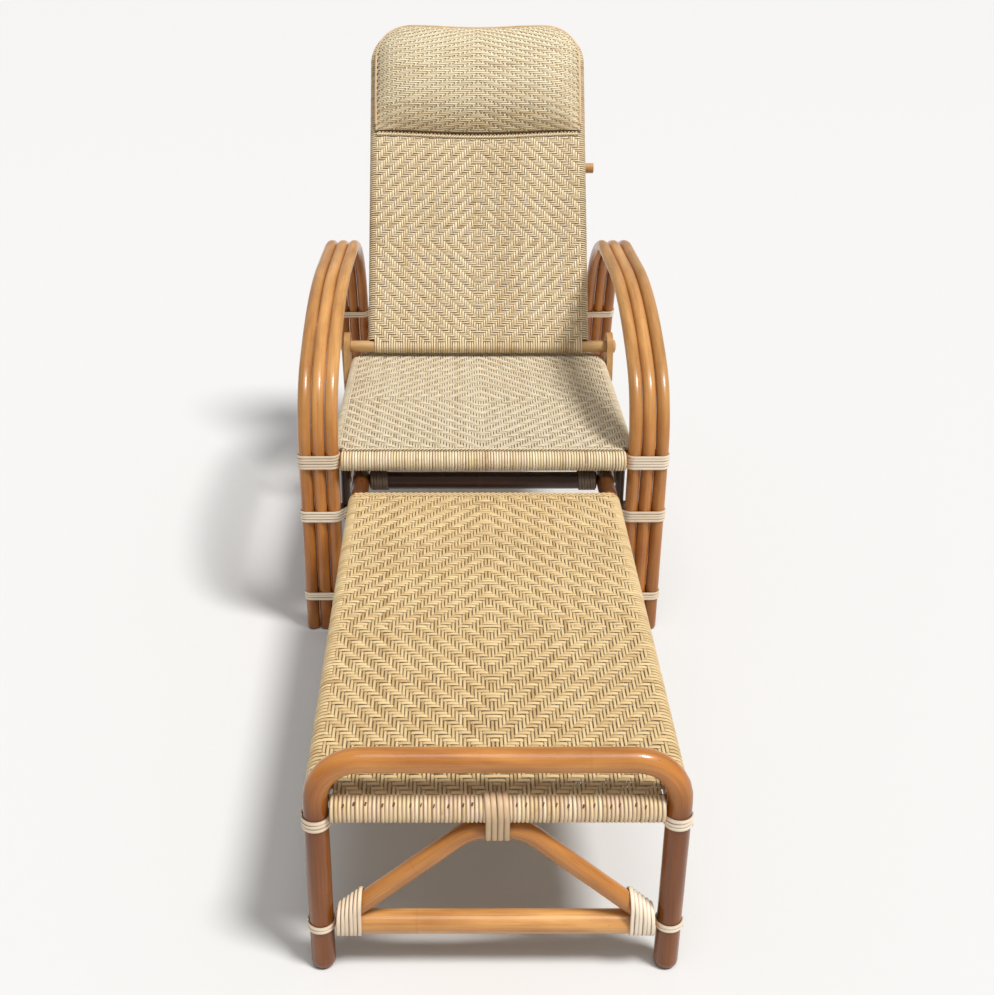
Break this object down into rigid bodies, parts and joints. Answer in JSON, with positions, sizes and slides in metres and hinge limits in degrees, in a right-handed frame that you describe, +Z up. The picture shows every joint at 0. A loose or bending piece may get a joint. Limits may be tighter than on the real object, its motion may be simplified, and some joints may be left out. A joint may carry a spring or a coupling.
{
  "type": "reclining chaise longue",
  "caption": "Woven rattan chaise longue with bent pole arms, a reclining padded back, and a footrest that slides out on its own legs.",
  "frame": {"origin": "on the floor, under the centre of the whole object's box at rest", "axes": "+Z up, +Y from the footrest towards the backrest, +X to the sitter's left seen from above with the head at +Y; the X = 0 plane is the mirror plane of the main frame"},
  "size_m": [0.7294, 2.0255, 1.1004],
  "materials": {
    "rattan_pole": "satin varnish",
    "peeled_wood": "satin varnish",
    "woven_cane": "satin",
    "pillow_cane": "woven cane over soft filling",
    "binding_cane": "satin"
  },
  "bodies": {
    "chair_frame": {"left_arm_outer_pole": "rattan_pole", "left_arm_middle_pole": "rattan_pole", "left_arm_inner_pole": "rattan_pole", "right_arm_outer_pole": "rattan_pole", "right_arm_middle_pole": "rattan_pole", "right_arm_inner_pole": "rattan_pole", "seat_front_rail": "rattan_pole", "seat_rail_winding": "woven_cane", "seat_frame": "rattan_pole", "seat_mat": "woven_cane", "front_posts": "peeled_wood", "left_carrier": "rattan_pole", "right_carrier": "rattan_pole", "rear_crossbar": "rattan_pole", "rear_lower_bar": "rattan_pole", "left_runner": "rattan_pole", "right_runner": "rattan_pole", "left_ear": "peeled_wood", "right_ear": "peeled_wood", "ear_pegs": "peeled_wood", "left_arm_lashings": "binding_cane", "right_arm_lashings": "binding_cane"},
    "backrest": {"pivot_bar": "peeled_wood", "pivot_bar_winding": "woven_cane", "pivot_caps": "peeled_wood", "back_frame": "rattan_pole", "back_mat": "woven_cane", "head_pillow": "pillow_cane", "left_prop_rack": "rattan_pole", "right_prop_rack": "rattan_pole"},
    "prop": {"prop_dowel": "peeled_wood", "left_prop_leg": "rattan_pole", "right_prop_leg": "rattan_pole"},
    "footrest": {"foot_bow": "rattan_pole", "left_foot_side_pole": "rattan_pole", "right_foot_side_pole": "rattan_pole", "foot_front_rail": "rattan_pole", "foot_rail_winding": "woven_cane", "foot_crossbar": "rattan_pole", "foot_stretcher": "rattan_pole", "foot_slide_pegs": "peeled_wood", "foot_brace": "rattan_pole", "foot_mat": "woven_cane", "foot_corner_lashings": "binding_cane", "foot_tee_lashings": "binding_cane", "foot_middle_lashing": "binding_cane", "foot_crossbar_sleeves": "binding_cane"}
  },
  "joints": [
    {"name": "back_recline", "type": "hinge", "parent": "chair_frame", "child": "backrest", "pos_m": [0, 0.52496, 0.4185], "axis": [-1, 0, 0], "range_deg": [0, 27]},
    {"name": "prop_swing", "type": "hinge", "parent": "chair_frame", "child": "prop", "pos_m": [0, 0.89342, 0.3527], "axis": [-1, 0, 0], "range_deg": [0, 45]},
    {"name": "footrest_slide", "type": "slide", "parent": "chair_frame", "child": "footrest", "axis": [0, 1, 0], "range_m": [0, 0.86]}
  ],
  "couplings": [
    {"joint": "prop_swing", "follows": "back_recline", "ratio": 1.622}
  ]
}
